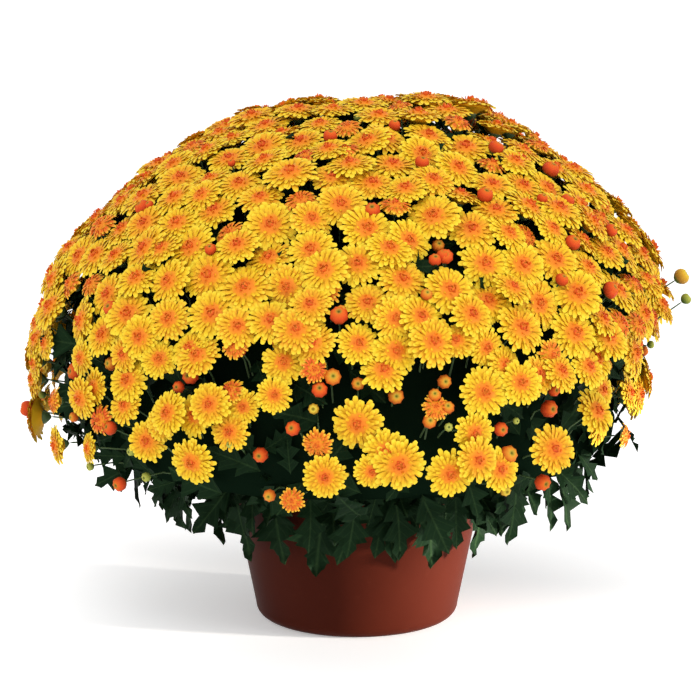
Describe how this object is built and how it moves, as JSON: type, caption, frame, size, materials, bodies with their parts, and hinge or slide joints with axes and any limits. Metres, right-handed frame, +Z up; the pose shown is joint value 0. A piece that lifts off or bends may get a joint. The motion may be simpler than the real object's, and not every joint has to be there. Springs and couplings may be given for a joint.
{
  "type": "pot chrysanthemum",
  "caption": "Pot chrysanthemum: a dome of golden yellow cushion blooms with orange middles and buds, over dark lobed leaves, growing in a low tapered terracotta-brown plastic pot.",
  "frame": {"origin": "the middle of the pot's flat underside", "axes": "+Z up along the pot's axis; -Y is the plant's front, as seen in the picture, and +X is to its right"},
  "size_m": [0.6465, 0.6761, 0.5282],
  "materials": {
    "pot_plastic": "satin",
    "soil": "matte",
    "leaf": "matte",
    "petal": "matte"
  },
  "bodies": {
    "root": {"pot": "pot_plastic", "soil": "soil", "leafy_stems": "leaf", "spray_01": "petal", "spray_02": "petal", "spray_03": "petal", "spray_04": "petal", "spray_05": "petal", "spray_06": "petal", "spray_07": "petal", "spray_08": "petal", "spray_09": "petal", "spray_10": "petal", "spray_11": "petal", "spray_12": "petal", "spray_13": "petal", "spray_14": "petal", "spray_15": "petal", "spray_16": "petal", "spray_17": "petal", "spray_18": "petal", "spray_19": "petal", "spray_20": "petal", "spray_21": "petal", "spray_22": "petal", "spray_23": "petal", "spray_24": "petal", "spray_25": "petal", "spray_26": "petal", "spray_27": "petal", "spray_28": "petal", "spray_29": "petal", "spray_30": "petal", "spray_31": "petal"}
  },
  "joints": []
}
